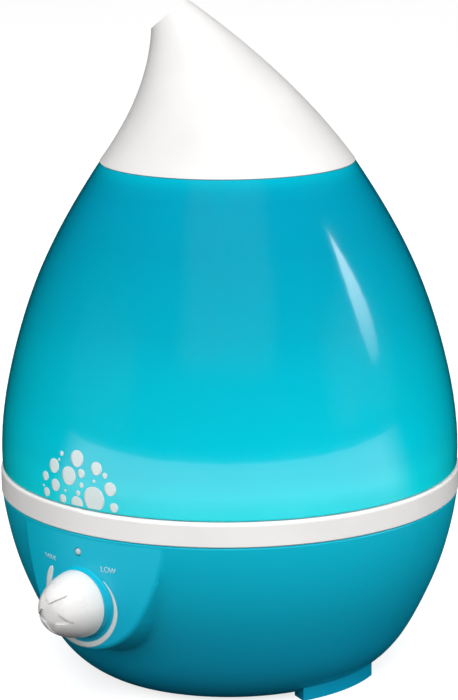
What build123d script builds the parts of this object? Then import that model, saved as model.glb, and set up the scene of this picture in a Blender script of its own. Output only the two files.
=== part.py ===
from build123d import *
import os
from math import atan, cos, degrees, radians, sin, tan

# Teardrop cool mist humidifier. Millimetres, +Z up, the table at z = 0, the vertical
# axis of the body on Z and the control knob facing -Y.

# Driving dimensions
ring_radius = 115.0  # outside of the white basin rim, the widest place
seam_height = 92.0  # where the base shell meets the white rim
rim_height = 12.0  # visible height of the white rim
tank_top = 256.0  # top edge of the water tank
wall = 2.5  # moulded wall of the casings
gap = 0.3  # joint line between casings that part
ground_gap = 3.5  # bottom of the base shell above the table

# Base shell
base_points = [(72.5, 3.5), (85.2, 14), (96.3, 32), (106.6, 56), (112.8, 80), (114.6, 91.85)]
base_wall = 3.0
base_top = seam_height - gap / 2
cover_radius = 61.7
cover_low = 3.7
cover_high = 5.7
lip_radius = 58.5
lip_high = 7.7
cover_screw_ring = 57.0
cover_screw_angles = [20, 160, 235, 305]

# Side feet of the base shell
foot_outer = 77.5
foot_inner = 68.5
foot_centre_angle = 84.0  # from the front, on both sides
foot_arc = 38.0
foot_low = 0.0

# Control boss, a shield-shaped pad whose face is a cylinder about the body's axis
boss_radius = 114.4
boss_arc = 33.6  # radius of its round lower end
boss_arc_reach = 62.0  # half the angle that this arc spans
boss_low = 35.0  # lowest point of the outline
boss_half_width = 41.4  # half the width at the seam
boss_draft = 14.0
boss_edge = 2.5  # rounding of the boss's face
boss_root = 4.0  # blend between the boss and the bowl
dial_height = 58.5  # height of the knob's axis
pedestal_radius = 16.4
pedestal_foot = 16.8  # radius where the drafted pedestal meets the boss
pedestal_root = 1.2  # blend between the pedestal and the boss
pedestal_face = 116.7
pedestal_low = 110.4
knob_gap = 0.5
knob_radius = 16.3
knob_length = 21.0
knob_taper = 1.4  # the two powers of the knob's rounded profile
knob_roundness = 2.9
star_tip = 11.5
star_dip = 5.4
star_depth = 0.9
shaft_radius = 3.0
running_gap = 0.05
lens_height = 83.0
lens_side = -2.0  # the lamp sits a little to the left of the knob's axis
lens_radius = 1.7

# White basin
rim_low = seam_height + gap / 2
rim_high = seam_height + rim_height + 0.2
rim_inner = 112.0
deck_high = 99.5
deck_low = 97.0
basin_radius = 93.5
basin_floor = 68.5
basin_under = 66.0
well_inner = 20.0
well_high = 94.5
port_y = 46.0
port_inner = 11.0
port_outer = 13.0
basin_screw_ring = 101.0
basin_screw_angles = [45, 135, 225, 315]

# Water tank
tank_points = [(114.1, 104.5), (113.9, 122), (106.8, 162), (93.2, 202), (71.7, 242), (62.6, 256)]
tank_low = rim_high + gap
tank_skirt = 111.0
lip_inner = 59.6
deck_top = 249.0
deck_under = 246.5
deck_radius = 63.4
chimney_outer = 17.0
chimney_inner = 15.2
chimney_low = 96.0
chimney_high = 262.0

# Fill cap and its valve, under the tank
cap_x = -58.0
spout_inner = 20.5
spout_outer = 23.0
spout_low = 91.0
cap_radius = 27.8
cap_low = 86.0
cap_floor = 88.5
valve_stroke = 4.0
valve_lift = 0.1  # the seal stops this far above its seat
stem_radius = 2.5
pin_high = 82.0

# Float
float_x = 45.0
float_y = -40.0
float_travel = 8.0
float_low = 70.0
float_high = 80.0

# Mist nozzle: level circles whose radius falls and whose centre leans with height
nozzle_radius = 62.8
nozzle_low = tank_top + 0.3
nozzle_taper = 0.735  # radius lost for each millimetre of height
nozzle_hollow = 0.0006  # eases the taper with the square of height
nozzle_lean = 18.0  # sideways shift of the centre at lean_height
lean_height = 63.0
lean_power = 2.1
lean_angle = 210.0  # direction of the lean, from +X towards +Y
nozzle_wall = 2.5  # measured level
outlet_low = (36.4, 320.5)  # distance towards the lean, height
outlet_high = (20.0, 334.0)
skirt_outer = 59.0
skirt_inner = 57.2
skirt_low = 250.5
seal_outer = 20.5

# Fan and electronics
fan_y = 34.0
fan_size = 60.0
fan_low = 8.2
fan_high = 28.2
fan_bore = 27.0
board_high = 19.6
board_low = 18.0
gland_height = 30.0
gland_face = 99.5
gland_bore = 3.5
gland_barrel = 5.0
fan_hole = 26.0  # half the pitch of the fan's corner holes
fan_shank = 1.5
fan_screw_places = [(x, fan_y + y) for x in (-fan_hole, fan_hole) for y in (-fan_hole, fan_hole)]

os.makedirs("parts", exist_ok=True)


def save(builder, name):
    """Label a finished piece and write its STEP file."""
    builder.part.label = name
    export_step(builder.part, f"parts/{name}.step")


def inset(points, depth):
    """The inner points of an outline that rises, moved square to it by the wall's depth."""
    moved = []
    for index in range(1, len(points) - 1):
        run = Vector(*points[index + 1]) - Vector(*points[index - 1])
        run = run.normalized()
        radius, height = points[index]
        moved.append((radius - depth * run.Y, height + depth * run.X))
    return moved


def polar(radius, angle):
    """A point on a circle about the body's axis, the angle in degrees from +X."""
    return (radius * cos(radians(angle)), radius * sin(radians(angle)))


def tube(plane, outer, inner, length, mode=Mode.ADD):
    """A round bar, or a tube where inner is not 0, standing on the plane."""
    with BuildSketch(plane) as section:
        Circle(outer)
        if inner:
            Circle(inner, mode=Mode.SUBTRACT)
    extrude(section.sketch, amount=length, mode=mode)


def upright(x, y, low):
    """A level plane centred on a point."""
    return Plane((x, y, low))


def block(x_span, y_span, z_span, mode=Mode.ADD):
    """A plain block between the three pairs of limits."""
    centre = ((x_span[0] + x_span[1]) / 2, (y_span[0] + y_span[1]) / 2)
    with BuildSketch(upright(*centre, z_span[0])) as section:
        Rectangle(x_span[1] - x_span[0], y_span[1] - y_span[0])
    extrude(section.sketch, amount=z_span[1] - z_span[0], mode=mode)


def facing(lateral, depth, height):
    """A plane that faces the front, square to -Y, at y = -depth."""
    return Plane((lateral, -depth, height), x_dir=(1, 0, 0), z_dir=(0, -1, 0))


def pan_screw(plane, head_radius, head_height, shank_radius, length):
    """A screw whose head stands out of the plane and whose shank runs the other way."""
    tube(plane, head_radius, 0, head_height)
    tube(plane, shank_radius, 0, -length)
    recess = plane.offset(head_height - 0.9)
    with BuildSketch(recess) as cross:
        Rectangle(head_radius * 1.1, 0.7)
        Rectangle(0.7, head_radius * 1.1)
    extrude(cross.sketch, amount=0.9, mode=Mode.SUBTRACT)


def turned(points):
    """Revolve a closed outline of (radius, height) points about the body's axis."""
    with BuildSketch(Plane.XZ) as section:
        with BuildLine():
            Polyline(*points, close=True)
        make_face()
    revolve(section.sketch, axis=Axis.Z)


# ---------------------------------------------------------------- base shell
bowl_inner = [(74.5, lip_high)] + inset(base_points, base_wall)
bowl_inner = bowl_inner + [(base_points[-1][0] - base_wall, base_top)]
cover_screw_places = [polar(cover_screw_ring, angle) for angle in cover_screw_angles]
basin_screw_places = [polar(basin_screw_ring, angle) for angle in basin_screw_angles]


def boss_sides(grow):
    """The shield outline of the control boss, made larger by grow."""
    arc = boss_arc + grow
    centre = boss_low + boss_arc
    reach = radians(boss_arc_reach)
    touch = (arc * sin(reach), centre - arc * cos(reach))
    shoulder = (boss_half_width + grow, seam_height)
    with BuildSketch(facing(0, boss_radius, 0)) as outline:
        with BuildLine():
            ThreePointArc((-touch[0], touch[1]), (0, centre - arc), touch)
            for side in (-1, 1):
                TangentArc(
                    (side * touch[0], touch[1]),
                    (side * shoulder[0], shoulder[1]),
                    tangent=(side * cos(reach), sin(reach)),
                )
            Polyline(
                shoulder,
                (shoulder[0], base_top + 8),
                (-shoulder[0], base_top + 8),
                (-shoulder[0], shoulder[1]),
            )
        make_face()
    return outline.sketch


with BuildPart() as boss_solid:
    extrude(boss_sides(0), amount=-40, taper=-boss_draft)
    tube(Plane.XY, boss_radius, 0, base_top, mode=Mode.INTERSECT)
    face_edges = boss_solid.edges().filter_by(
        lambda edge: Vector(edge.center().X, edge.center().Y).length > boss_radius - 0.05
    )
    fillet(face_edges.filter_by(lambda edge: edge.center().Z < base_top - 0.1), radius=boss_edge)

with BuildPart() as pedestal:
    with BuildSketch(facing(0, pedestal_face, dial_height)) as pedestal_outline:
        Circle(pedestal_radius)
    draft = degrees(atan((pedestal_foot - pedestal_radius) / (pedestal_face - boss_radius)))
    extrude(pedestal_outline.sketch, amount=pedestal_low - pedestal_face, taper=-draft)

with BuildPart() as boss_hollow:
    extrude(boss_sides(-wall), amount=-40, taper=-boss_draft)
    tube(Plane.XY, boss_radius - wall, 0, base_top + 1, mode=Mode.INTERSECT)

with BuildPart() as base_shell:
    with BuildSketch(Plane.XZ):
        with BuildLine():
            Polyline((0, ground_gap), base_points[0])
            Spline(*base_points)
            Polyline(base_points[-1], (0, base_top), (0, ground_gap))
        make_face()
    revolve(axis=Axis.Z)
    add(boss_solid.part)
    add(pedestal.part)
    bowl_face = base_shell.faces().sort_by(SortBy.AREA)[-1]
    boss_roots = bowl_face.edges().filter_by(
        lambda edge: edge.center().Y < -80 and 25 < edge.center().Z < base_top - 1
    )
    fillet(boss_roots, radius=boss_root)
    pedestal_edges = base_shell.edges().filter_by(
        lambda edge: edge.center().Y < -boss_radius + 2 and edge.length > 90
    )
    fillet(pedestal_edges.sort_by(Axis.Y)[-1], radius=pedestal_root)
    for side in (1, -1):
        middle = -90 + side * foot_centre_angle
        with BuildSketch(Plane.XY.offset(foot_low)):
            with BuildLine():
                first = middle - foot_arc / 2
                last = middle + foot_arc / 2
                CenterArc((0, 0), foot_outer, first, foot_arc)
                CenterArc((0, 0), foot_inner, first, foot_arc)
                Line(polar(foot_inner, first), polar(foot_outer, first))
                Line(polar(foot_inner, last), polar(foot_outer, last))
            make_face()
        extrude(amount=9)
    tube(facing(0, -gland_face, gland_height), 9, 0, 20)
    with BuildSketch(Plane.XZ):
        with BuildLine():
            Polyline((0, lip_high), bowl_inner[0])
            Spline(*bowl_inner)
            Polyline(bowl_inner[-1], (0, base_top), (0, lip_high))
        make_face()
    revolve(axis=Axis.Z, mode=Mode.SUBTRACT)
    add(boss_hollow.part, mode=Mode.SUBTRACT)
    pedestal_edge = base_shell.edges().sort_by(Axis.Y)[0]
    fillet(pedestal_edge, radius=0.8)
    seam_edges = base_shell.edges().filter_by(GeomType.CIRCLE).group_by(Axis.Z)[-1]
    fillet(seam_edges.sort_by(SortBy.RADIUS)[-1], radius=0.7)
    tube(Plane.XY, lip_radius, 0, 20, mode=Mode.SUBTRACT)
    tube(Plane.XY, cover_radius + 0.3, 0, cover_high, mode=Mode.SUBTRACT)
    tube(facing(0, pedestal_face - 2.4, dial_height), 10, 0, -8, mode=Mode.SUBTRACT)
    tube(facing(0, pedestal_face + 1, dial_height), 3.6, 0, -8, mode=Mode.SUBTRACT)
    tube(facing(lens_side, boss_radius + 1, lens_height), 1.5, 0, -6, mode=Mode.SUBTRACT)
    tube(facing(lens_side, boss_radius + 1, lens_height), lens_radius + 0.35, 0, -2, mode=Mode.SUBTRACT)
    tube(facing(0, -gland_face - 1, gland_height), gland_barrel, 0, 30, mode=Mode.SUBTRACT)
    for x, y in fan_screw_places[1::2]:
        tube(upright(x, y, lip_high - 1), 3.2, 0, fan_low - lip_high + 1)
        tube(upright(x, y, lip_high - 2.5), fan_shank, 0, 4, mode=Mode.SUBTRACT)
save(base_shell, "base_shell")

with BuildPart() as base_posts:
    for x, y in cover_screw_places:
        tube(upright(x, y, cover_high), 4, 1.4, 12)
    for angle in basin_screw_angles:
        shelf = Plane(origin=(*polar(basin_screw_ring, angle), 74), x_dir=(*polar(1, angle), 0))
        with BuildSketch(shelf) as bracket:
            with Locations((2.5, 0)):
                Rectangle(13, 12)
            Circle(1.6, mode=Mode.SUBTRACT)
        extrude(bracket.sketch, amount=3)
    add(base_shell.part, mode=Mode.SUBTRACT)
save(base_posts, "base_posts")

# ---------------------------------------------------------------- bottom cover
pad_angles = [45, 135, 225, 315]
pad_ring = 44.0
pad_radius = 7.0
pad_places = [(0, 0)] + [polar(pad_ring, angle) for angle in pad_angles]
pad_pin = 2.5
vent_bars = [-18, -12, -6, 0, 6, 12, 18]
standoff_places = [(12, -36), (40, -36), (12, -6), (40, -6)]

with BuildPart() as bottom_cover:
    tube(Plane.XY.offset(cover_low), cover_radius, 0, cover_high - cover_low)
    for x, y in cover_screw_places:
        tube(upright(x, y, cover_low), 1.6, 0, 3, mode=Mode.SUBTRACT)
    for x, y in pad_places:
        tube(upright(x, y, cover_low), pad_pin, 0, 3, mode=Mode.SUBTRACT)
    with BuildSketch(upright(0, fan_y, cover_low)) as vents:
        for x in vent_bars:
            with Locations((x, 0)):
                SlotOverall(2 * (20 ** 2 - x ** 2 / 1.6) ** 0.5, 3.2, rotation=90)
    extrude(vents.sketch, amount=3, mode=Mode.SUBTRACT)
    for x, y in standoff_places:
        tube(upright(x, y, cover_high), 3, 1.2, board_low - cover_high)
    for x, y in fan_screw_places[0::2]:
        tube(upright(x, y, cover_high), 3, fan_shank, fan_low - cover_high)
save(bottom_cover, "bottom_cover")

with BuildPart() as cover_screws:
    for x, y in cover_screw_places:
        under = Plane((x, y, cover_low), x_dir=(1, 0, 0), z_dir=(0, 0, -1))
        pan_screw(under, 3, 1.8, 1.4, 12)
save(cover_screws, "cover_screws")

with BuildPart() as rubber_feet:
    for x, y in pad_places:
        tube(upright(x, y, 0), pad_radius, 0, cover_low)
        tube(upright(x, y, 0), pad_pin, 0, cover_high)
    ground_edges = rubber_feet.edges().group_by(Axis.Z)[0]
    chamfer(ground_edges, length=0.6)
save(rubber_feet, "rubber_feet")

# ---------------------------------------------------------------- white basin
transducer_bolt = 16.0
transducer_places = [polar(transducer_bolt, angle) for angle in (90, 210, 330)]
disc_radius = 10.0
seal_low = 62.5
seal_radius = 12.8
clamp_low = 60.5
float_post = 3.0
clip_low = float_high + float_travel + 0.4
clip_high = clip_low + 1.6

with BuildPart() as reservoir_basin:
    turned(
        [
            (ring_radius, rim_low),
            (ring_radius, rim_high),
            (rim_inner, rim_high),
            (rim_inner, deck_high),
            (basin_radius, deck_high),
            (basin_radius, deck_low),
            (108.6, deck_low),
            (108.6, 88),
            (110.8, 88),
            (110.8, deck_low),
            (rim_inner, deck_low),
            (rim_inner, rim_low),
        ]
    )
    rim_edges = reservoir_basin.edges().filter_by(GeomType.CIRCLE)
    rim_edges = rim_edges.filter_by(lambda edge: abs(edge.radius - ring_radius) < 0.01)
    fillet(rim_edges.sort_by(Axis.Z)[-1], radius=1.6)
    fillet(rim_edges.sort_by(Axis.Z)[0], radius=0.6)
save(reservoir_basin, "reservoir_basin")

with BuildPart() as basin_wall:
    tube(Plane.XY.offset(basin_floor), basin_radius + wall, basin_radius, deck_low - basin_floor)
save(basin_wall, "basin_wall")

with BuildPart() as basin_plate:
    tube(Plane.XY.offset(basin_under), basin_radius + wall, 8, basin_floor - basin_under)
    tube(upright(0, port_y, basin_under - 1), port_inner, 0, 6, mode=Mode.SUBTRACT)
    for x, y in transducer_places:
        tube(upright(x, y, seal_low), 3, 0, basin_under - seal_low)
        tube(upright(x, y, seal_low), 1.4, 0, 4.5, mode=Mode.SUBTRACT)
save(basin_plate, "basin_plate")

port_slot = (6, well_inner - 1, port_y - port_inner + 1)
with BuildPart() as well_wall:
    tube(Plane.XY.offset(basin_floor), well_inner + 2, well_inner, well_high - basin_floor)
    for angle in (45, 135, 225, 315):
        window = Plane(origin=(*polar(well_inner, angle), basin_floor), x_dir=(*polar(1, angle), 0))
        with BuildSketch(window) as inlet:
            with Locations((1, 0)):
                Rectangle(6, 8)
        extrude(inlet.sketch, amount=5, mode=Mode.SUBTRACT)
    block((-port_slot[0], port_slot[0]), port_slot[1:], (88, 96), mode=Mode.SUBTRACT)
save(well_wall, "well_wall")

with BuildPart() as air_spout:
    tube(upright(0, port_y, basin_floor), port_outer, port_inner, 95 - basin_floor)
    block((-port_slot[0], port_slot[0]), port_slot[1:], (88, 96), mode=Mode.SUBTRACT)
save(air_spout, "air_spout")

with BuildPart() as basin_posts:
    tube(upright(cap_x, 0, basin_floor), 3, 0, pin_high - basin_floor)
    tube(upright(float_x, float_y, basin_floor), float_post, 0, clip_high + 0.6 - basin_floor)
    tube(upright(float_x, float_y, basin_floor), 6, 0, 1.4)
    for x, y in basin_screw_places:
        tube(upright(x, y, 77), 4, 1.4, deck_low - 77)
save(basin_posts, "basin_posts")

with BuildPart() as basin_screws:
    for x, y in basin_screw_places:
        pan_screw(Plane((x, y, 74), x_dir=(1, 0, 0), z_dir=(0, 0, -1)), 3, 1.8, 1.4, 14)
save(basin_screws, "basin_screws")

# ---------------------------------------------------------------- mist generator
with BuildPart() as transducer_disc:
    tube(Plane.XY.offset(63.6), disc_radius, 0, 1.2)
save(transducer_disc, "transducer_disc")

with BuildPart() as transducer_seal:
    tube(Plane.XY.offset(seal_low), seal_radius, 8, basin_under - seal_low)
    tube(Plane.XY.offset(63.6), disc_radius, 0, 1.2, mode=Mode.SUBTRACT)
save(transducer_seal, "transducer_seal")

with BuildPart() as transducer_ring:
    tube(Plane.XY.offset(clamp_low), 19.5, 7.5, seal_low - clamp_low)
    for x, y in transducer_places:
        tube(upright(x, y, clamp_low - 1), 1.6, 0, 4, mode=Mode.SUBTRACT)
save(transducer_ring, "transducer_ring")

with BuildPart() as transducer_screws:
    for x, y in transducer_places:
        pan_screw(Plane((x, y, clamp_low), x_dir=(1, 0, 0), z_dir=(0, 0, -1)), 2.8, 1.6, 1.4, 6)
save(transducer_screws, "transducer_screws")

# ---------------------------------------------------------------- low-water float
magnet_low = float_low + 1.5
with BuildPart() as float_body:
    tube(upright(float_x, float_y, float_low), 11, 3.1, float_high - float_low)
    float_rims = float_body.edges().filter_by(GeomType.CIRCLE)
    fillet(float_rims.filter_by(lambda edge: edge.radius > 10), radius=1)
    tube(upright(float_x, float_y, magnet_low), 7.5, 4.2, 3, mode=Mode.SUBTRACT)
save(float_body, "float_body")

with BuildPart() as float_magnet:
    tube(upright(float_x, float_y, magnet_low), 7.5, 4.2, 3)
save(float_magnet, "float_magnet")

with BuildPart() as float_clip:
    tube(upright(float_x, float_y, clip_low), 6, float_post, clip_high - clip_low)
    block((float_x, float_x + 7), (float_y - 1, float_y + 1), (clip_low, clip_high), mode=Mode.SUBTRACT)
save(float_clip, "float_clip")

with BuildPart() as reed_switch:
    glass = Plane((float_x - 7, float_y, basin_under - 2), x_dir=(0, 1, 0), z_dir=(1, 0, 0))
    tube(glass, 1.3, 0, 14)
    tube(glass.offset(-5), 0.3, 0, 24)
    for x in (float_x - 6, float_x + 4):
        block((x, x + 2), (float_y - 2, float_y + 2), (basin_under - 2, basin_under))
save(reed_switch, "reed_switch")

# ---------------------------------------------------------------- water tank
tank_inner = [(tank_skirt, 110)] + inset(tank_points, wall)[:-1] + [(64.2, deck_top)]

with BuildPart() as tank_shell:
    with BuildSketch(Plane.XZ):
        with BuildLine():
            Polyline((tank_skirt, tank_low), tank_points[0])
            Spline(*tank_points)
            Polyline(
                tank_points[-1],
                (lip_inner, tank_top),
                (lip_inner, deck_top),
                tank_inner[-1],
            )
            Spline(*tank_inner)
            Line(tank_inner[0], (tank_skirt, tank_low))
        make_face()
    revolve(axis=Axis.Z)
    brim = tank_shell.edges().filter_by(GeomType.CIRCLE)
    brim_top = brim.filter_by(lambda edge: abs(edge.center().Z - tank_top) < 0.01 and edge.radius > 61)
    fillet(brim_top, radius=1.0)
    brim_low = brim.filter_by(lambda edge: abs(edge.center().Z - tank_low) < 0.01 and edge.radius > 113)
    fillet(brim_low, radius=0.8)
save(tank_shell, "tank_shell")

with BuildPart() as tank_deck:
    tube(Plane.XY.offset(deck_under), deck_radius, chimney_outer, deck_top - deck_under)
save(tank_deck, "tank_deck")

with BuildPart() as tank_floor:
    turned(
        [
            (chimney_outer, 101),
            (107, 101),
            (107, deck_high + 0.1),
            (tank_skirt, deck_high + 0.1),
            (tank_skirt, 110),
            (108.5, 110),
            (108.5, 103.5),
            (chimney_outer, 103.5),
        ]
    )
    spout = upright(cap_x, 0, spout_low)
    tube(spout, spout_outer, 0, 11)
    tube(spout, spout_inner, 0, 15, mode=Mode.SUBTRACT)
    for start in (55, 235):
        with BuildSketch(upright(cap_x, 0, spout_low + 1)) as lug:
            with BuildLine():
                CenterArc((0, 0), spout_outer - 0.5, start, 70)
                CenterArc((0, 0), spout_outer + 1.8, start, 70)
                for angle in (start, start + 70):
                    Line(polar(spout_outer - 0.5, angle), polar(spout_outer + 1.8, angle))
            make_face()
        extrude(lug.sketch, amount=1.8)
save(tank_floor, "tank_floor")

with BuildPart() as mist_chimney:
    tube(Plane.XY.offset(chimney_low), chimney_outer, chimney_inner, chimney_high - chimney_low)
    top_edges = mist_chimney.edges().group_by(Axis.Z)[-1]
    chamfer(top_edges, length=0.4)
save(mist_chimney, "mist_chimney")

# ---------------------------------------------------------------- fill cap and valve
valve_face = cap_floor + valve_lift + valve_stroke
head_low = valve_face + 1.5
head_high = head_low + 2
bridge_low = 104.0
cap_inner = 25.2

with BuildPart() as fill_cap:
    tube(upright(cap_x, 0, cap_low), cap_radius, 0, cap_floor - cap_low)
    tube(upright(cap_x, 0, cap_floor), cap_radius, cap_inner, 98.5 - cap_floor)
    tube(upright(cap_x, 0, cap_low - 1), 6, 0, 5, mode=Mode.SUBTRACT)
    with BuildSketch(upright(cap_x, 0, cap_floor)) as legs:
        with PolarLocations(12, 4, start_angle=45):
            Rectangle(3, 5)
    extrude(legs.sketch, amount=bridge_low - cap_floor)
    tube(upright(cap_x, 0, bridge_low), 13.5, stem_radius + running_gap, 2)
    for start in (55, 235):
        with BuildSketch(upright(cap_x, 0, spout_low + 3.1)) as hook:
            with BuildLine():
                CenterArc((0, 0), spout_outer + 0.4, start, 70)
                CenterArc((0, 0), cap_inner + 0.5, start, 70)
                for angle in (start, start + 70):
                    Line(polar(spout_outer + 0.4, angle), polar(cap_inner + 0.5, angle))
            make_face()
        extrude(hook.sketch, amount=1.8)
    with BuildSketch(upright(cap_x, 0, cap_low)) as grips:
        with PolarLocations(cap_radius, 24):
            Circle(1.1)
    extrude(grips.sketch, amount=12, mode=Mode.SUBTRACT)
save(fill_cap, "fill_cap")

with BuildPart() as cap_seal:
    tube(upright(cap_x, 0, cap_floor), cap_inner - 0.2, spout_inner, spout_low - 0.1 - cap_floor)
save(cap_seal, "cap_seal")

with BuildPart() as valve_plunger:
    tube(upright(cap_x, 0, pin_high + 0.1), stem_radius, 0, 111 - pin_high)
    tube(upright(cap_x, 0, head_low), 9, 0, head_high - head_low)
save(valve_plunger, "valve_plunger")

with BuildPart() as valve_seal:
    tube(upright(cap_x, 0, valve_face), 8.5, stem_radius, head_low - valve_face)
save(valve_seal, "valve_seal")

spring_turns = 4
spring_wire = 0.4
spring_radius = 6.0
spring_height = bridge_low - head_high - 4 * spring_wire
with BuildPart() as valve_spring:
    spring_start = (cap_x, 0, head_high + 2 * spring_wire)
    with BuildLine() as coil:
        Helix(spring_height / spring_turns, spring_height, spring_radius, center=spring_start)
    with BuildSketch(coil.line ^ 0) as strand:
        Circle(spring_wire)
    sweep(strand.sketch, path=coil.line)
save(valve_spring, "valve_spring")

# ---------------------------------------------------------------- mist nozzle
loft_step = 10.0
loft_count = 9
lean_way = Vector(cos(radians(lean_angle)), sin(radians(lean_angle)), 0)


def nozzle_circles(first_height, thinner):
    """Level circles up the nozzle from first_height above its foot, each thinner by a wall."""
    circles = []
    for index in range(loft_count):
        height = max(index * loft_step, first_height)
        radius = nozzle_radius - nozzle_taper * height + nozzle_hollow * height ** 2 - thinner
        centre = lean_way * (nozzle_lean * (height / lean_height) ** lean_power)
        with BuildSketch(upright(centre.X, centre.Y, nozzle_low + height)) as level:
            Circle(radius)
        circles.append(level.sketch)
    return circles


outlet_slope = Vector(outlet_high[0] - outlet_low[0], outlet_high[1] - outlet_low[1]).normalized()
outlet_normal = lean_way * outlet_slope.Y + Vector(0, 0, -outlet_slope.X)
outlet_centre = lean_way * ((outlet_low[0] + outlet_high[0]) / 2)
outlet_centre = outlet_centre + Vector(0, 0, (outlet_low[1] + outlet_high[1]) / 2)
outlet_plane = Plane(origin=outlet_centre, z_dir=outlet_normal)

with BuildPart() as nozzle_shell:
    loft(nozzle_circles(0, 0))
    loft(nozzle_circles(2, nozzle_wall), mode=Mode.SUBTRACT)
    tube(Plane.XY.offset(nozzle_low - 1), skirt_inner, 0, 4, mode=Mode.SUBTRACT)
    split(bisect_by=outlet_plane, keep=Keep.BOTTOM)
    tube(Plane.XY.offset(skirt_low), skirt_outer, skirt_inner, nozzle_low + 0.5 - skirt_low)
save(nozzle_shell, "nozzle_shell")

with BuildPart() as nozzle_baffle:
    tube(Plane.XY.offset(252.5), skirt_inner, seal_outer + running_gap, 2)
    tube(Plane.XY.offset(252.5), 22.6, seal_outer + running_gap, 8)
save(nozzle_baffle, "nozzle_baffle")

with BuildPart() as nozzle_seal:
    tube(Plane.XY.offset(deck_top + 0.1), seal_outer, chimney_outer + running_gap, 9)
save(nozzle_seal, "nozzle_seal")

# ---------------------------------------------------------------- control knob and speed control
pot_face = pedestal_face - 2.4
pot_depth = 10.0
nut_high = 2.2
knob_base = pedestal_face + knob_gap
shaft_low = pot_face - pot_depth + 2.5
bushing_end = 121.5

with BuildPart() as pot_body:
    tube(facing(0, pot_face - pot_depth, dial_height), 8.5, 0, pot_depth)
    tube(facing(0, pot_face, dial_height), 3.55, 0, bushing_end - pot_face)
    tube(facing(0, shaft_low, dial_height), shaft_radius + running_gap, 0, 20, mode=Mode.SUBTRACT)
    for x in (-5, 0, 5):
        block((x - 0.6, x + 0.6), (-pot_face + 8.4, -pot_face + 9), (dial_height - 13, dial_height - 6))
save(pot_body, "pot_body")

with BuildPart() as pot_nut:
    with BuildSketch(facing(0, pedestal_face, dial_height)):
        RegularPolygon(radius=5, side_count=6, major_radius=False)
        Circle(3.55, mode=Mode.SUBTRACT)
    extrude(amount=nut_high)
save(pot_nut, "pot_nut")

with BuildPart() as pot_shaft:
    tube(facing(0, shaft_low + 0.3, dial_height), shaft_radius, 0, knob_base + 17 - shaft_low)
save(pot_shaft, "pot_shaft")


def dome(inner):
    """The knob's rounded form, made smaller all over by inner."""
    axis_plane = Plane((0, -knob_base, dial_height), x_dir=(1, 0, 0), z_dir=(0, 0, 1))
    radius = knob_radius - inner
    length = knob_length - inner
    profile = []
    for part in (0, 0.15, 0.3, 0.45, 0.6, 0.75, 0.88, 0.96, 1):
        width = (1 - part**knob_taper) ** (1 / knob_roundness)
        profile.append((radius * width, -length * part))
    with BuildSketch(axis_plane) as half:
        with BuildLine():
            Spline(*profile, tangents=[(0, -1), (-1, 0)])
            Polyline((0, -length), (0, 0), (radius, 0))
        make_face()
    knob_axis = Axis((0, -knob_base, dial_height), (0, -1, 0))
    revolve(half.sketch, axis=knob_axis)


with BuildPart() as knob_core:
    dome(star_depth)

with BuildPart() as control_knob:
    dome(0)
    with BuildSketch(facing(0, knob_base + 4, dial_height)) as star:
        tips = [polar(star_tip, 72 * index - 18) for index in range(5)]
        dips = [polar(star_dip, 72 * index + 18) for index in range(5)]
        corners = [point for pair in zip(tips, dips) for point in pair]
        Polygon(*corners, align=None)
    extrude(star.sketch, amount=30, mode=Mode.SUBTRACT)
    add(knob_core.part)
    tube(facing(0, knob_base - 1, dial_height), 11, 0, 6, mode=Mode.SUBTRACT)
    tube(facing(0, knob_base - 1, dial_height), shaft_radius, 0, 18.3, mode=Mode.SUBTRACT)
save(control_knob, "control_knob")

with BuildPart() as indicator_lens:
    tube(facing(lens_side, boss_radius - 4.8, lens_height), 1.45, 0, 4.2)
    tube(facing(lens_side, boss_radius - 1, lens_height), lens_radius, 0, 1.8)
    lens_edge = indicator_lens.edges().sort_by(Axis.Y)[0]
    fillet(lens_edge, radius=1.3)
save(indicator_lens, "indicator_lens")

with BuildPart() as indicator_led:
    tube(facing(lens_side, boss_radius - 10, lens_height), 2.5, 0, 5)
    for x in (lens_side - 1.2, lens_side + 0.8):
        block((x, x + 0.4), (-boss_radius + 9, -boss_radius + 15), (lens_height - 0.2, lens_height + 0.2))
save(indicator_led, "indicator_led")

# ---------------------------------------------------------------- fan and air duct
fan_axis = (0, fan_y)
fan_hub_high = 12.0
rotor_low = 12.6
rotor_high = 25.5
rotor_hub = 10.5
blade_count = 7
blade_reach = fan_bore - 0.9
axle_radius = 1.5

with BuildPart() as fan_housing:
    with BuildSketch(upright(*fan_axis, fan_low)) as frame:
        RectangleRounded(fan_size, fan_size, 3)
        Circle(fan_bore, mode=Mode.SUBTRACT)
        with Locations(*[(x, y - fan_y) for x, y in fan_screw_places]):
            Circle(1.6, mode=Mode.SUBTRACT)
    extrude(frame.sketch, amount=fan_high - fan_low)
    tube(upright(*fan_axis, fan_low), rotor_hub, 0, fan_hub_high - fan_low)
    with BuildSketch(upright(*fan_axis, fan_low)) as struts:
        with PolarLocations(18.5, 4, start_angle=45):
            Rectangle(18, 3)
    extrude(struts.sketch, amount=2.5)
    tube(upright(*fan_axis, fan_hub_high), axle_radius, 0, 12)
save(fan_housing, "fan_housing")

with BuildPart() as fan_rotor:
    for index in range(blade_count):
        angle = 360 * index / blade_count
        foot = Vector(*polar(8, angle), rotor_low + 6) + Vector(0, fan_y, 0)
        blade_plane = Plane(foot, x_dir=(*polar(1, angle + 90), 0), z_dir=(*polar(1, angle), 0))
        with BuildSketch(blade_plane) as blade:
            Rectangle(15, 1.2, rotation=40)
        extrude(blade.sketch, amount=22)
    tube(upright(*fan_axis, rotor_low), blade_reach, 0, 13, mode=Mode.INTERSECT)
    tube(upright(*fan_axis, rotor_low), rotor_hub, 0, rotor_high - rotor_low)
    tube(upright(*fan_axis, rotor_low - 1), axle_radius + running_gap, 0, 12.7, mode=Mode.SUBTRACT)
save(fan_rotor, "fan_rotor")

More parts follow.
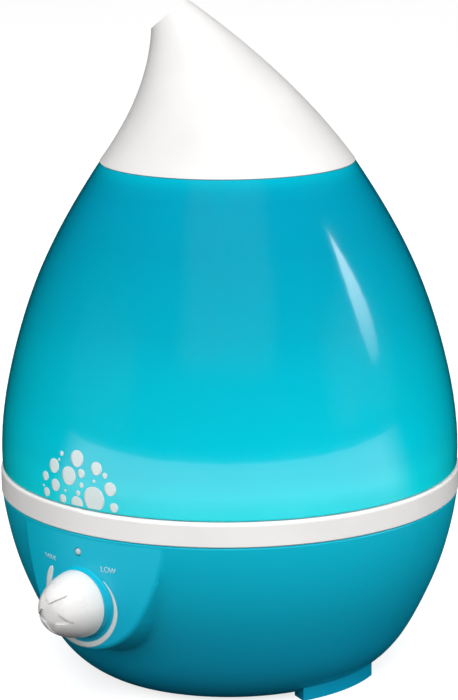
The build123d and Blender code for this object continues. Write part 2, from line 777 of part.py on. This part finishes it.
with BuildPart() as fan_screws:
    for x, y in fan_screw_places:
        pan_screw(upright(x, y, fan_high), 2.8, 1.6, fan_shank, fan_high - 6.4)
save(fan_screws, "fan_screws")

with BuildPart() as air_duct:
    for shrink, mode in ((0, Mode.ADD), (2, Mode.SUBTRACT)):
        with BuildSketch(upright(*fan_axis, fan_high)) as mouth:
            Circle(fan_bore + 2 - shrink)
        with BuildSketch(upright(0, port_y, 56)) as throat:
            Circle(port_outer - shrink)
        loft([mouth.sketch, throat.sketch], mode=mode)
    tube(upright(0, port_y, 56), port_outer, port_inner, basin_under - 56)
save(air_duct, "air_duct")

# ---------------------------------------------------------------- electronics
with BuildPart() as driver_board:
    block((8, 44), (-40, -2), (board_low, board_high))
    for x, y in standoff_places:
        tube(upright(x, y, board_low - 1), 1.6, 0, 4, mode=Mode.SUBTRACT)
    block((20, 34), (-38, -34), (board_high, board_high + 6))
    block((9, 14), (-24, -14), (board_high, board_high + 7))
save(driver_board, "driver_board")

with BuildPart() as board_screws:
    for x, y in standoff_places:
        pan_screw(upright(x, y, board_high), 2.5, 1.4, 1.2, 10)
save(board_screws, "board_screws")

with BuildPart() as heat_sink:
    block((18, 36), (-18, -9), (board_high, board_high + 3))
    for x in (18, 22, 26, 30, 34):
        block((x, x + 2), (-18, -9), (board_high + 3, board_high + 18))
save(heat_sink, "heat_sink")

with BuildPart() as capacitors:
    for x, y in ((20, -26), (33, -26)):
        tube(upright(x, y, board_high), 5, 0, 14)
    can_tops = capacitors.edges().group_by(Axis.Z)[-1]
    fillet(can_tops, radius=0.8)
save(capacitors, "capacitors")

with BuildPart() as transformer:
    block((-48, -20), (-33, 1), (cover_high, cover_high + 8))
    block((-48, -20), (-33, 1), (cover_high + 8, cover_high + 30))
    block((-43, -25), (-39, 3), (cover_high + 8, cover_high + 24))
save(transformer, "transformer")

with BuildPart() as cord_gland:
    tube(facing(0, -gland_face, gland_height), 8, 0, -2)
    tube(facing(0, -gland_face, gland_height), gland_barrel, 0, 17)
    tube(facing(0, -gland_face - 3, gland_height), gland_bore, 0, 30, mode=Mode.SUBTRACT)
    flange_edge = cord_gland.edges().filter_by(lambda edge: abs(edge.center().Y - gland_face - 2) < 0.01)
    fillet(flange_edge.filter_by(lambda edge: edge.radius > 6), radius=0.8)
save(cord_gland, "cord_gland")


# ---------------------------------------------------------------- internal leads
def corner_radii(points):
    """The largest comfortable arc at each corner of a lead's route."""
    radii = []
    for before, point, after in zip(points, points[1:], points[2:]):
        run_in = Vector(*point) - Vector(*before)
        run_out = Vector(*after) - Vector(*point)
        turn = radians(run_in.get_angle(run_out))
        radii.append(0.45 * min(run_in.length, run_out.length) / tan(turn / 2))
    return radii


def lead(points, radius):
    """A wire of round section along its route."""
    with BuildLine() as route:
        FilletPolyline(*points, radius=corner_radii(points))
    with BuildSketch(route.line ^ 0) as section:
        Circle(radius)
    sweep(section.sketch, path=route.line)


lead_radius = 1.2
lead_routes = {
    "fan_lead": [
        (16, 4, 24), (16, -3, 24), (15, -10, 29), (12.5, -16, 33), (11.5, -19, 32), (11.5, -19, 26.6),
    ],
    "transducer_lead": [
        (4, -2, 63.6), (4, -2, 57), (10, -13, 50), (19, -25, 44), (25, -32, 37), (27, -36, 31),
        (27, -36, 25.6),
    ],
    "dial_lead": [
        (5, -105.6, 45.5), (5, -102, 40), (8, -93, 37), (13, -79, 32), (19, -64, 27), (25, -51, 23),
        (25, -38, 23),
    ],
}
for name, points in lead_routes.items():
    with BuildPart() as wire:
        lead(points, lead_radius)
    print(name, "corner radii", [round(radius, 1) for radius in corner_radii(points)])
    save(wire, name)
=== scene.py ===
import math

import bmesh
import bpy
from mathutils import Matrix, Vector
from mathutils.bvhtree import BVHTree


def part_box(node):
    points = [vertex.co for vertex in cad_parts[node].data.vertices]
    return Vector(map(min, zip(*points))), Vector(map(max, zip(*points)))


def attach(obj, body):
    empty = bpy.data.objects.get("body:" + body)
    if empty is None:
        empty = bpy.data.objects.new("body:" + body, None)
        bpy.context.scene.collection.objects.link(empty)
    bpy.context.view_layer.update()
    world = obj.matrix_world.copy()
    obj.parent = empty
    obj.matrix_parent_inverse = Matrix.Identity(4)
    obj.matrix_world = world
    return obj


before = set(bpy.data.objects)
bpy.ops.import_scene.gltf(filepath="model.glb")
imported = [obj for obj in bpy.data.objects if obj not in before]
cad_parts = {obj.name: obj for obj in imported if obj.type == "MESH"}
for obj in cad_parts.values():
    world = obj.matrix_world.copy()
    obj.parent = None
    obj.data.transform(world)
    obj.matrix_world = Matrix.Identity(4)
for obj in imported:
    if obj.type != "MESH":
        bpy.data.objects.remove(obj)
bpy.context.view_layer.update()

# Cool mist humidifier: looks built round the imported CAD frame. Metres, +Z up, the knob facing -Y.
# A bearing is in degrees from the front (-Y) towards +X, seen from the object's axis.

MM = 0.001

# ---------------------------------------------------------------- places taken from the frame
base_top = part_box("base_shell")[1].z
tank_low, tank_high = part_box("tank_shell")
knob_low, knob_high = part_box("control_knob")

tank_foot = tank_low.z
tank_top = tank_high.z
tank_radius = tank_high.x
dial_height = (knob_low.z + knob_high.z) / 2

# ---------------------------------------------------------------- colours
WHITE = (0.88, 0.88, 0.87, 1)
BLACK = (0, 0, 0, 1)
GLOW = (1, 1, 1, 1)

# Share of the tank's height and its colour there, with light and shade painted in: painted light
# at the foot, painted shade deepest under the shoulder, and a painted highlight at the top edge.
tank_painted_light_bands = [
    (0.0, (0.004, 0.76, 0.84, 1)),
    (0.07, (0.004, 0.70, 0.81, 1)),
    (0.133, (0.002, 0.60, 0.73, 1)),
    (0.195, (0.0, 0.565, 0.70, 1)),
    (0.254, (0.0, 0.515, 0.645, 1)),
    (0.31, (0.0, 0.485, 0.61, 1)),
    (0.43, (0.0, 0.43, 0.56, 1)),
    (0.55, (0.0, 0.355, 0.485, 1)),
    (0.78, (0.0, 0.28, 0.41, 1)),
    (0.93, (0.0, 0.27, 0.41, 1)),
    (0.965, (0.0, 0.30, 0.43, 1)),
    (1.0, (0.0, 0.40, 0.53, 1)),
]
tank_cloud = (0.0, 0.42, 0.56, 1)

# The base's teal: lit colour at the top, painted shade darkening it towards the foot; the cloud is
# random tone.
base_painted_shade = (0.0, 0.315, 0.51, 1)
base_lit_top = (0.0, 0.48, 0.64, 1)
base_cloud = (0.0, 0.42, 0.6, 1)
painted_shade_full_below = 12 * MM


def scaled(colour, share):
    """A colour made darker or paler by a share."""
    return tuple(share * channel for channel in colour[:3]) + (1,)


# ---------------------------------------------------------------- node building
class Nodes:
    """Short hand for the node tree round one shader."""

    def __init__(self, owner, shader):
        owner.use_nodes = True
        self.tree = owner.node_tree
        self.shader = self.tree.nodes[shader]

    def feed(self, socket, value):
        """Link a socket to another one, or give it a plain value."""
        if isinstance(value, bpy.types.NodeSocket):
            self.tree.links.new(value, socket)
        else:
            socket.default_value = value

    def add(self, kind, inputs=None, **settings):
        """A new node with its settings, and its inputs by name or number."""
        node = self.tree.nodes.new(kind)
        for key, value in settings.items():
            setattr(node, key, value)
        for key, value in (inputs or {}).items():
            self.feed(node.inputs[key], value)
        return node

    def math(self, operation, *values):
        """A Math node's operation on numbers or sockets."""
        return self.add("ShaderNodeMath", dict(enumerate(values)), operation=operation).outputs[0]

    def set(self, **values):
        """Give the shader's inputs: underscores stand for spaces."""
        for key, value in values.items():
            self.feed(self.shader.inputs[key.replace("_", " ")], value)


class Material(Nodes):
    """A new material, its patterns laid out in the object's own coordinates."""

    def __init__(self, name):
        self.material = bpy.data.materials.new(name)
        super().__init__(self.material, "Principled BSDF")
        self.place = self.add("ShaderNodeTexCoord").outputs["Object"]

    def axes(self):
        """X, Y and Z of the point on the object, by name."""
        return self.add("ShaderNodeSeparateXYZ", {"Vector": self.place}).outputs

    def noise(self, scale, detail=3.0):
        inputs = {"Vector": self.place, "Scale": scale, "Detail": detail}
        return self.add("ShaderNodeTexNoise", inputs).outputs["Fac"]

    def spread(self, value, low, high, start=0.0, end=1.0, ease="LINEAR"):
        """Map a value from start..end onto low..high."""
        inputs = {"Value": value, "From Min": start, "From Max": end, "To Min": low, "To Max": high}
        return self.add("ShaderNodeMapRange", inputs, interpolation_type=ease).outputs["Result"]

    def vary(self, scale, low, high, start=0.3, end=0.7):
        """Noise spread over low..high; noise seldom leaves start..end."""
        return self.spread(self.noise(scale), low, high, start, end)

    def soft_step(self, value, start, end):
        """0 up to start and 1 from end on, eased between them."""
        return self.spread(value, 0.0, 1.0, start, end, ease="SMOOTHSTEP")

    def mix(self, factor, first, second):
        """A mix of two colours: a Mix node has them at inputs 6 and 7 and output 2."""
        inputs = {0: factor, 6: first, 7: second}
        return self.add("ShaderNodeMix", inputs, data_type="RGBA").outputs[2]

    def bump(self, height, strength, distance):
        inputs = {"Height": height, "Strength": strength, "Distance": distance}
        return self.add("ShaderNodeBump", inputs).outputs["Normal"]


# ---------------------------------------------------------------- materials
def moulded(name, colour, roughness, grain=900.0, relief=0.012, coat=0.0, soft=0.0):
    """Moulded plastic: slight colour drift, uneven gloss and a fine moulding texture."""
    m = Material(name)
    m.set(Base_Color=m.mix(m.vary(22.0, 0.0, 1.0, 0.35, 0.65), scaled(colour, 0.93), colour))
    m.set(Roughness=m.vary(160.0, roughness * 0.88, roughness * 1.12))
    m.set(Normal=m.bump(m.noise(grain, detail=2.0), relief, 0.0004))
    m.set(Coat_Weight=coat, Coat_Roughness=0.05)
    if soft:
        m.set(Subsurface_Weight=soft, Subsurface_Scale=0.004, Subsurface_Radius=(1.0, 1.0, 1.0))
    return m.material


def tank_plastic():
    """Glossy translucent teal, with light and shade painted into its colour by height."""
    m = Material("tank_teal_gloss")
    rise = m.spread(m.axes()["Z"], 0.0, 1.0, tank_foot, tank_top)
    # the ramp paints the tank's light and shade by height
    ramp = m.add("ShaderNodeValToRGB", {"Fac": rise})
    stops = ramp.color_ramp.elements  # a new ramp has one at 0 and one at 1
    stops[0].color = tank_painted_light_bands[0][1]
    stops[1].color = tank_painted_light_bands[-1][1]
    for position, colour in tank_painted_light_bands[1:-1]:
        stops.new(position).color = colour
    m.set(Base_Color=m.mix(m.vary(14.0, 0.0, 0.12), ramp.outputs["Color"], tank_cloud))
    m.set(Roughness=m.vary(90.0, 0.10, 0.15))
    m.set(Normal=m.bump(m.noise(45.0, detail=1.0), 0.02, 0.001))
    m.set(Coat_Weight=0.6, Coat_Roughness=0.03)
    m.set(Subsurface_Weight=0.15, Subsurface_Scale=0.006, Subsurface_Radius=(0.2, 1.0, 1.0))
    return m.material


def base_plastic():
    """Satin teal of the base, with painted shade darkening it towards the foot."""
    m = Material("base_teal_satin")
    rise = m.spread(m.axes()["Z"], 0.0, 1.0, painted_shade_full_below, base_top)
    cloud = m.vary(22.0, 0.0, 0.1, 0.35, 0.65)
    m.set(Base_Color=m.mix(cloud, m.mix(rise, base_painted_shade, base_lit_top), base_cloud))
    m.set(Roughness=m.vary(160.0, 0.30, 0.38))
    m.set(Normal=m.bump(m.noise(900.0, detail=2.0), 0.02, 0.0004))
    m.set(Coat_Weight=0.15, Coat_Roughness=0.05)
    return m.material


def metal(name, colour, roughness):
    """Bright or brushed metal with fine scratches."""
    m = Material(name)
    m.set(Base_Color=m.mix(m.noise(300.0), scaled(colour, 0.85), colour))
    m.set(Metallic=1.0, Roughness=m.vary(700.0, roughness * 0.8, roughness * 1.25))
    m.set(Normal=m.bump(m.noise(1500.0), 0.05, 0.0002))
    return m.material


def printed(name, colour):
    """Screen-printed ink: matt, a little uneven in thickness."""
    m = Material(name)
    m.set(Base_Color=m.mix(m.noise(600.0), colour, scaled(colour, 1.08)))
    m.set(Roughness=m.vary(400.0, 0.35, 0.5))
    m.set(Normal=m.bump(m.noise(1800.0), 0.06, 0.0001))
    return m.material


def circuit():
    """Green solder mask with darker tracks."""
    m = Material("circuit_board")
    inputs = {"Vector": m.place, "Scale": 260.0}
    cells = m.add("ShaderNodeTexVoronoi", inputs, feature="DISTANCE_TO_EDGE")
    track = m.spread(cells.outputs["Distance"], 0.0, 1.0, 0.04, 0.08)
    m.set(Base_Color=m.mix(track, (0.05, 0.22, 0.08, 1), (0.01, 0.12, 0.05, 1)))
    m.set(Roughness=m.vary(200.0, 0.3, 0.45))
    return m.material


def clear_lens():
    """Grey frosted lens over the indicator lamp."""
    m = Material("indicator_lens_grey")
    m.set(Base_Color=m.mix(m.noise(900.0), (0.42, 0.52, 0.58, 1), (0.52, 0.6, 0.65, 1)))
    m.set(Roughness=m.vary(500.0, 0.12, 0.22), Coat_Weight=0.5, Coat_Roughness=0.04)
    return m.material


base_teal = base_plastic()
white_gloss = moulded("white_gloss", WHITE, 0.22, relief=0.01, coat=0.3, soft=0.15)
white_satin = moulded("white_satin", WHITE, 0.38, relief=0.02, soft=0.15)
ring_white = moulded("ring_white", (0.84, 0.825, 0.81, 1), 0.34, relief=0.015)
knob_white = moulded("knob_white", (0.78, 0.77, 0.76, 1), 0.30, relief=0.01, coat=0.2, soft=0.3)
nozzle_white = moulded("nozzle_white", (0.73, 0.722, 0.71, 1), 0.34, relief=0.015, soft=0.15)
grey_matt = moulded("grey_matt", (0.30, 0.31, 0.32, 1), 0.5)
black_matt = moulded("black_matt", (0.025, 0.025, 0.028, 1), 0.5)
rubber_grey = moulded("rubber_grey", (0.20, 0.205, 0.21, 1), 0.7, grain=1400.0, relief=0.05)
silicone = moulded("silicone", (0.72, 0.73, 0.72, 1), 0.45, soft=0.2)
wire_red = moulded("wire_red", (0.40, 0.02, 0.02, 1), 0.45)
ceramic = moulded("ceramic_disc", (0.70, 0.67, 0.58, 1), 0.25, coat=0.5)
steel = metal("steel", (0.62, 0.63, 0.65, 1), 0.28)
aluminium = metal("aluminium", (0.68, 0.69, 0.71, 1), 0.4)
iron = metal("laminations", (0.12, 0.12, 0.13, 1), 0.5)
tank_teal = tank_plastic()
board_green = circuit()
lens_grey = clear_lens()
dial_ink = printed("dial_ink", (0.62, 0.68, 0.68, 1))
bubble_ink = printed("bubble_ink", (0.66, 0.76, 0.76, 1))

# The CAD nodes of each material; the rest are steel.
finishes = [
    (base_teal, ["base_shell", "base_posts", "bottom_cover"]),
    (tank_teal, ["tank_shell", "tank_deck", "mist_chimney"]),
    (white_gloss, ["basin_wall", "basin_plate", "basin_posts", "well_wall", "air_spout"]),
    (white_gloss, ["tank_floor", "fill_cap"]),
    (white_satin, ["float_body", "valve_plunger"]),
    (ring_white, ["reservoir_basin"]),
    (nozzle_white, ["nozzle_shell", "nozzle_baffle"]),
    (knob_white, ["control_knob"]),
    (silicone, ["nozzle_seal", "cap_seal", "valve_seal", "transducer_seal"]),
    (rubber_grey, ["rubber_feet"]),
    (grey_matt, ["pot_body", "pot_shaft", "air_duct"]),
    (black_matt, ["cord_gland", "fan_housing", "fan_rotor", "float_magnet", "capacitors"]),
    (lens_grey, ["indicator_lens", "indicator_led", "reed_switch"]),
    (board_green, ["driver_board"]),
    (aluminium, ["heat_sink"]),
    (iron, ["transformer"]),
    (ceramic, ["transducer_disc"]),
    (wire_red, ["fan_lead", "transducer_lead", "dial_lead"]),
]
finish_of = {name: material for material, names in finishes for name in names}

for name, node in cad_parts.items():
    node.data.materials.clear()
    node.data.materials.append(finish_of.get(name, steel))
    node.data.polygons.foreach_set("material_index", [0] * len(node.data.polygons))


# ---------------------------------------------------------------- printed pieces
ink_depth = 0.06 * MM  # how far a print stands off the plastic
overlap_sink = 0.2  # share of the depth by which a letter's second stroke lies lower
weld = 1e-7  # points closer than this become one
ray_start = 0.3  # rays at the front start this far out, clear of everything on the object


def piece(name, mesh_builder, material, body):
    """A new visible piece made by mesh_builder(bmesh), riding on a CAD body."""
    mesh = bpy.data.meshes.new(name)
    shape = bmesh.new()
    mesh_builder(shape)
    bmesh.ops.remove_doubles(shape, verts=shape.verts, dist=weld)
    bmesh.ops.recalc_face_normals(shape, faces=shape.faces)
    shape.to_mesh(mesh)
    shape.free()
    for polygon in mesh.polygons:
        polygon.use_smooth = True
    obj = bpy.data.objects.new(name, mesh)
    bpy.context.scene.collection.objects.link(obj)
    mesh.materials.append(material)
    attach(obj, body)
    return obj


def surface_tree(node_name):
    """A tree of a CAD node's faces, to lay prints on."""
    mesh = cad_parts[node_name].data
    points = [vertex.co.copy() for vertex in mesh.vertices]
    return BVHTree.FromPolygons(points, [tuple(polygon.vertices) for polygon in mesh.polygons])


def round_the_axis(tree, radius):
    """Lays a print on a body of revolution: u is the arc from the front towards +X, v the height."""
    def place(u, v, lift):
        turn = u / radius
        outward = Vector((math.sin(turn), -math.cos(turn), 0))
        start = outward * (2 * radius) + Vector((0, 0, v))
        spot, normal, _, _ = tree.ray_cast(start, -outward)
        return spot + normal * lift
    return place


def straight_on(tree, centre_height):
    """Lays a print on the front: u is the distance towards +X, v the height above the knob's axis."""
    def place(u, v, lift):
        start = Vector((u, -ray_start, centre_height + v))
        spot, normal, _, _ = tree.ray_cast(start, Vector((0, 1, 0)))
        return spot + normal * lift
    return place


def slab(shape, rows, place, lift=ink_depth):
    """A thin closed slab of ink through a grid of points, all rows equally long."""
    tops = [[shape.verts.new(place(u, v, lift)) for u, v in row] for row in rows]
    unders = [[shape.verts.new(place(u, v, -lift)) for u, v in row] for row in rows]
    across = len(rows[0]) - 1
    along = len(rows) - 1
    for i in range(along):
        for j in range(across):
            shape.faces.new((tops[i][j], tops[i][j + 1], tops[i + 1][j + 1], tops[i + 1][j]))
            shape.faces.new((unders[i][j], unders[i + 1][j], unders[i + 1][j + 1], unders[i][j + 1]))
    rim = [(0, j) for j in range(across)] + [(i, across) for i in range(along)]
    rim += [(along, j) for j in range(across, 0, -1)] + [(i, 0) for i in range(along, 0, -1)]
    for (i, j), (next_i, next_j) in zip(rim, rim[1:] + rim[:1]):
        shape.faces.new((tops[i][j], unders[i][j], unders[next_i][next_j], tops[next_i][next_j]))


def stroke(shape, path, width, place, lift=ink_depth):
    """A line of ink of even width along a path with mitred corners."""
    sharpest_mitre = 0.35
    points = [Vector(point) for point in path]
    rows = []
    for index, point in enumerate(points):
        before = (point - points[index - 1]).normalized() if index else None
        after = (points[index + 1] - point).normalized() if index + 1 < len(points) else None
        along = ((before or after) + (after or before)).normalized()
        side = Vector((-along.y, along.x))
        reach = width / 2 / max(sharpest_mitre, along.dot(after or before))
        rows.append([tuple(point + side * reach), tuple(point - side * reach)])
    slab(shape, rows, place, lift)


# ---------------------------------------------------------------- spots on the tank
# Arc from the front towards +X, height above the tank's foot and radius, in millimetres.
spots = [
    (-12.6, 24.6, 1.2), (-14.2, 21.4, 0.7), (-2.3, 23.9, 4.0), (-17.6, 17.8, 3.5), (9.6, 20.9, 3.2),
    (-7.3, 14.8, 4.5), (0.7, 17.2, 2.2), (14.6, 18.2, 1.4), (-24.0, 11.6, 2.3), (8.4, 14.7, 0.8),
    (-16.5, 8.6, 3.0), (-25.6, 6.6, 0.7), (0.9, 11.6, 1.3), (17.6, 12.1, 3.3), (-9.6, 7.2, 0.7),
    (-23.3, 3.8, 2.3), (-1.2, 7.4, 1.3), (-11.4, 2.8, 2.2), (-2.1, 2.0, 3.7), (8.3, 6.0, 6.0),
    (19.6, 3.4, 2.3),
]
spot_floor = tank_foot + 1.0 * MM  # the spots are cut off level here
spot_row = 0.16 * MM
spot_column = 0.5 * MM
spot_blunt = 0.02  # radians left off a spot's ends, where its rows would have no width


def dot(shape, u, v, radius, place):
    """A round spot of ink, cut off level at spot_floor."""
    low = math.pi if v - radius >= spot_floor else math.acos((spot_floor - v) / radius)
    steps = max(10, round(radius / spot_row))
    across = max(4, round(radius / spot_column))
    rows = []
    for i in range(steps + 1):
        angle = spot_blunt + (low - 2 * spot_blunt) * i / steps
        half = radius * math.sin(angle)
        height = v + radius * math.cos(angle)
        rows.append([(u + half * (2 * j / across - 1), height) for j in range(across + 1)])
    slab(shape, rows, place)


def draw_spots(shape):
    place = round_the_axis(surface_tree("tank_shell"), tank_radius)
    for arc, rise, radius in spots:
        dot(shape, arc * MM, tank_foot + rise * MM, radius * MM, place)


# ---------------------------------------------------------------- prints round the dial
front = straight_on(surface_tree("base_shell"), dial_height)

# The band that widens clockwise from low to maximum: its angles count from +X towards +Z.
crescent_start = math.radians(44)
crescent_end = math.radians(-215)
crescent_steps = 96
crescent_across = 4
crescent_tip = 0.3 * MM  # its width at the low end
crescent_early_gain = 1.3 * MM  # what the width gains over the early part of its length
crescent_early_part = 0.2
crescent_even_gain = 2.5 * MM  # what the width gains evenly, besides, over all of its length
crescent_inner = 17.9 * MM  # its inner radius at the low end
crescent_outward = 4.1 * MM  # what the inner radius gains, as a power of the length
crescent_bend = 1.2
crescent_round_steps = 6  # the last steps, which round off the maximum end
crescent_blunt = 0.02  # share of the width left at the very end


def draw_crescent(shape):
    """The crescent, narrow at its low end and round at its maximum end."""
    rows = []
    for i in range(crescent_steps + 1):
        part = i / crescent_steps
        angle = crescent_start + (crescent_end - crescent_start) * part
        early = min(1.0, part / crescent_early_part)
        width = crescent_tip + crescent_early_gain * early + crescent_even_gain * part
        middle = crescent_inner + crescent_outward * part ** crescent_bend + width / 2
        left_in = (1 - part) * crescent_steps / crescent_round_steps
        cap = math.sqrt(max(0.0, 1 - (1 - left_in) ** 2)) if left_in < 1 else 1.0
        row = []
        for j in range(crescent_across + 1):
            radius = middle + width * (j / crescent_across - 0.5) * max(cap, crescent_blunt)
            row.append((radius * math.cos(angle), radius * math.sin(angle)))
        rows.append(row)
    slab(shape, rows, front)


# Letters: their width for a height of one, and their strokes in a box one unit wide and high.
ring_turns = [math.tau * k / 24 for k in range(25)]
ring = [(0.5 + 0.5 * math.cos(turn), 0.5 + 0.5 * math.sin(turn)) for turn in ring_turns]
letters = {
    "M": (1.1, [[(0, 0), (0, 1), (0.5, 0.3), (1, 1), (1, 0)]]),
    "A": (0.95, [[(0, 0), (0.5, 1), (1, 0)], [(0.2, 0.34), (0.8, 0.34)]]),
    "X": (0.85, [[(0, 0), (1, 1)], [(0, 1), (1, 0)]]),
    "L": (0.6, [[(0, 1), (0, 0), (1, 0)]]),
    "O": (1.0, [ring]),
    "W": (1.4, [[(0, 1), (0.25, 0), (0.5, 0.9), (0.75, 0), (1, 1)]]),
}
letter_weight = 0.10  # stroke width over letter height


def draw_word(shape, word, centre, height, spacing):
    """A short word, centred on a point of the front, which counts from the knob's axis."""
    widths = [letters[letter][0] * height for letter in word]
    left = centre[0] - (sum(widths) + spacing * (len(word) - 1)) / 2
    low = centre[1] - height / 2
    for letter, width in zip(word, widths):
        for order, path in enumerate(letters[letter][1]):
            line = [(left + x * width, low + y * height) for x, y in path]
            lift = ink_depth * (1 - overlap_sink * order)
            stroke(shape, line, letter_weight * height, front, lift)
        left += width + spacing


def draw_legends(shape):
    draw_word(shape, "MAX", (-21.3 * MM, 18.0 * MM), height=2.3 * MM, spacing=0.4 * MM)
    draw_word(shape, "LOW", (15.8 * MM, 18.5 * MM), height=2.4 * MM, spacing=0.3 * MM)


piece("tank_spots", draw_spots, bubble_ink, "tank")
piece("dial_crescent", draw_crescent, dial_ink, "base")
piece("dial_legends", draw_legends, dial_ink, "base")


# ---------------------------------------------------------------- camera
camera_azimuth = math.radians(38.2)
camera_distance = 1.293  # level distance from the object's axis
camera_height = 0.4571
camera_pitch = 12.94
camera_roll = 0.46
camera_lens = 136.6
camera_sensor = 36.0
camera_clip = 50.0

camera_data = bpy.data.cameras.new("camera")
camera_data.lens = camera_lens
camera_data.sensor_width = camera_sensor
camera_data.clip_end = camera_clip
camera = bpy.data.objects.new("camera", camera_data)
bpy.context.scene.collection.objects.link(camera)
camera.location = (
    camera_distance * math.sin(camera_azimuth),
    -camera_distance * math.cos(camera_azimuth),
    camera_height,
)
camera.rotation_mode = "XYZ"
camera.rotation_euler = (math.radians(90 - camera_pitch), 0.0, camera_azimuth)
camera.rotation_euler.rotate_axis("Z", -math.radians(camera_roll))
bpy.context.scene.camera = camera


# ---------------------------------------------------------------- studio
floor_size = 12.0
floor_grey = 0.5
floor_lift = 0.765  # glow that brings the grey up to the photograph's white
floor_bounce = 0.13  # how much of the light it sends back up onto the object
floor_glow = 1.3  # how bright it is in the object's gloss
lit_from = (-52, -34)  # bearings between which that glow comes up
lit_to = (134, 112)  # bearings between which it fades again, the dark end first
lit_away = (0.24, 0.62)  # distances from the axis between which it comes up
sky_diffuse = 0.36  # the sky's light on the object
light_aim = 0.16  # height of the point that the softboxes face


def floor_material():
    """White table: pale to the camera, glowing in gloss where light falls, dull to the rest."""
    m = Material("floor_white")
    rays = m.add("ShaderNodeLightPath").outputs
    seen = rays["Is Camera Ray"]
    mirrored = rays["Is Glossy Ray"]
    away = m.add("ShaderNodeVectorMath", {0: m.place}, operation="LENGTH").outputs["Value"]
    axes = m.axes()
    bearing = m.math("ARCTAN2", axes["X"], m.math("MULTIPLY", axes["Y"], -1.0))
    bearing = m.math("DEGREES", bearing)
    lit = m.math("MULTIPLY", m.soft_step(bearing, *lit_from), m.soft_step(bearing, *lit_to))
    lit = m.math("MULTIPLY", lit, m.soft_step(away, *lit_away))
    glow = m.math("MULTIPLY", m.math("MULTIPLY", lit, floor_glow), mirrored)
    dull = m.mix(mirrored, (floor_bounce,) * 3 + (1,), BLACK)
    m.set(Base_Color=m.mix(seen, dull, (floor_grey,) * 3 + (1,)), Roughness=0.9)
    m.set(Emission_Color=GLOW, Emission_Strength=m.math("MULTIPLY_ADD", seen, floor_lift, glow))
    m.set(Specular_IOR_Level=0.0)
    return m.material


def card_material(name, strength, low, high):
    """A black card that glows ever brighter from its low end to its high end."""
    dimmest = 0.06
    m = Material(name)
    rise = m.spread(m.axes()["Z"], dimmest * strength, strength, low, high)
    m.set(Base_Color=BLACK, Emission_Color=GLOW, Emission_Strength=rise)
    return m.material


def stage_mesh(name, build, material):
    """A piece of the studio, made by build(bmesh)."""
    shape = bmesh.new()
    build(shape)
    mesh = bpy.data.meshes.new(name)
    shape.to_mesh(mesh)
    shape.free()
    obj = bpy.data.objects.new(name, mesh)
    bpy.context.scene.collection.objects.link(obj)
    mesh.materials.append(material)
    return obj


def only_gloss(obj):
    """Hide a card from every kind of ray but the mirrored ones."""
    for ray in ("camera", "diffuse", "shadow", "transmission", "volume_scatter"):
        setattr(obj, "visible_" + ray, False)


def on_dome(bearing, elevation, distance, height):
    """A point at a bearing and elevation, at a distance from the axis at a height."""
    turn = math.radians(bearing)
    climb = math.radians(elevation)
    level = distance * math.cos(climb)
    rise = distance * math.sin(climb)
    return Vector((level * math.sin(turn), -level * math.cos(turn), height + rise))


def flat_floor(shape):
    bmesh.ops.create_grid(shape, x_segments=1, y_segments=1, size=floor_size)


def leaf(shape):
    """A tall narrow card, pointed at the top and rounded at the foot."""
    bearing = 121.5
    distance = 1.4
    height = 0.2
    outline = [  # elevation and half width, in degrees
        (35.0, 0.05), (32, 1.7), (28, 3.4), (23, 4.8), (18.5, 5.2), (14.5, 4.8), (11.5, 3.9),
        (9.0, 2.6),
    ]
    edges = []
    for climb, width in outline:
        ends = [on_dome(bearing + side * width, climb, distance, height) for side in (-1, 1)]
        edges.append([shape.verts.new(end) for end in ends])
    for upper, lower in zip(edges, edges[1:]):
        shape.faces.new((upper[0], upper[1], lower[1], lower[0]))


def canopy(shape):
    """A broad card high over the camera's side, for the bright band at the top of the tank."""
    middle = 38.0
    distance = 1.7
    height = 0.25
    bearings = [middle + 8 * k for k in range(-4, 5)]
    elevations = (67, 70, 73, 76, 79)
    rows = []
    for climb in elevations:
        row = [on_dome(bearing, climb, distance, height) for bearing in bearings]
        rows.append([shape.verts.new(point) for point in row])
    for lower, upper in zip(rows, rows[1:]):
        for k in range(len(bearings) - 1):
            shape.faces.new((lower[k], lower[k + 1], upper[k + 1], upper[k]))


def softbox(name, bearing, elevation, distance, width, tall, power):
    """A rectangular light facing the object's axis, not seen in gloss."""
    data = bpy.data.lights.new(name, "AREA")
    data.shape = "RECTANGLE"
    data.size = width
    data.size_y = tall
    data.energy = power
    light = bpy.data.objects.new(name, data)
    bpy.context.scene.collection.objects.link(light)
    light.location = on_dome(bearing, elevation, distance, light_aim)
    towards = Vector((0, 0, light_aim)) - light.location
    light.rotation_euler = towards.to_track_quat("-Z", "Y").to_euler()
    light.visible_glossy = False


def plain_sky():
    """White to the camera, black in gloss, and a soft even light for the rest."""
    world = bpy.data.worlds.new("studio")
    nodes = Nodes(world, "Background")
    rays = nodes.add("ShaderNodeLightPath").outputs
    level = nodes.math("MULTIPLY_ADD", rays["Is Glossy Ray"], -sky_diffuse, sky_diffuse)
    nodes.set(Color=GLOW, Strength=nodes.math("MAXIMUM", level, rays["Is Camera Ray"]))
    return world


stage_mesh("floor", flat_floor, floor_material())
only_gloss(stage_mesh("strip_card", leaf, card_material("strip_glow", 6.5, low=0.40, high=0.95)))
only_gloss(stage_mesh("top_card", canopy, card_material("top_glow", 1.6, low=1.65, high=1.85)))
softbox("front_fill", 38.0, 44.0, distance=2.3, width=2.0, tall=2.0, power=57.0)
softbox("right_fill", 112.0, 14.0, distance=2.2, width=1.6, tall=0.8, power=18.0)
softbox("left_fill", -34.0, 13.0, distance=2.2, width=1.6, tall=0.8, power=10.0)
softbox("top_fill", 20.0, 82.0, distance=1.9, width=1.6, tall=1.6, power=6.0)
bpy.context.scene.world = plain_sky()
bpy.context.scene.view_settings.view_transform = "Standard"
